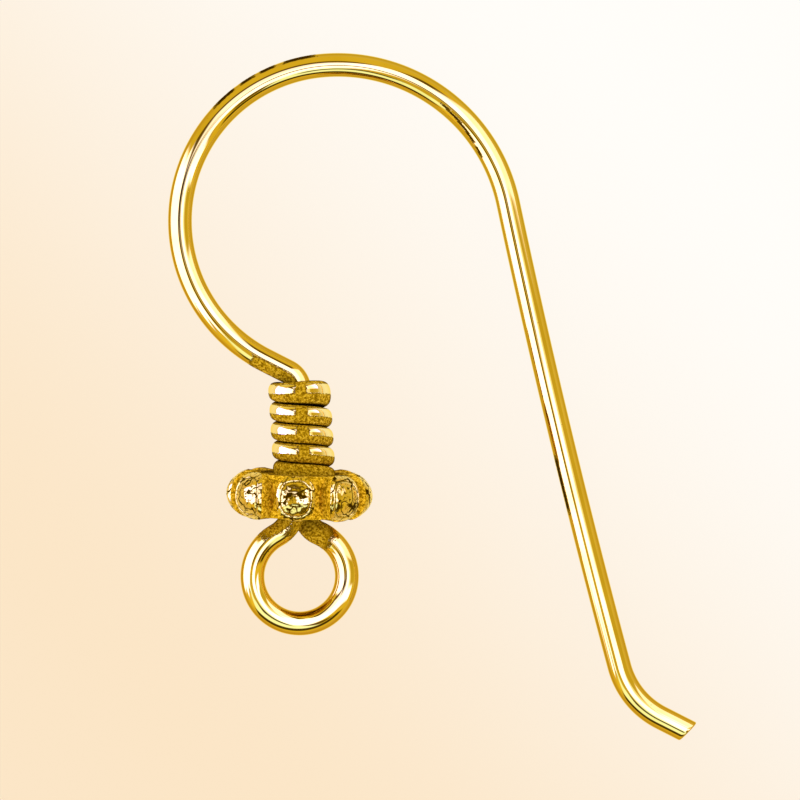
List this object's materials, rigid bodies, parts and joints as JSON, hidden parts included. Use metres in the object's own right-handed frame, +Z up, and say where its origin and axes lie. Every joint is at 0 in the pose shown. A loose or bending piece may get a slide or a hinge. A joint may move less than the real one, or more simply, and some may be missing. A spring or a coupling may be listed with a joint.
{
  "type": "ear wire",
  "caption": "Gold-coloured fish-hook ear wire with a wound coil and a granule bead over an eye that takes a drop",
  "frame": {"origin": "bottom centre of the box round the ear wire as it lies on its side", "axes": "+Y from the eye to the arch, +X from the coil to the leg, +Z up from the surface"},
  "size_m": [0.0174, 0.023, 0.0048],
  "materials": {
    "hook_gold": "polished gold over silver, dull in the recesses",
    "coil_gold": "polished gold over silver, dull in the grooves",
    "bead_gold": "granules burnished, body dull and grainy"
  },
  "bodies": {
    "root": {"ear_hook": "hook_gold", "coil_wrap": "coil_gold", "granule_bead": "bead_gold"}
  },
  "joints": []
}
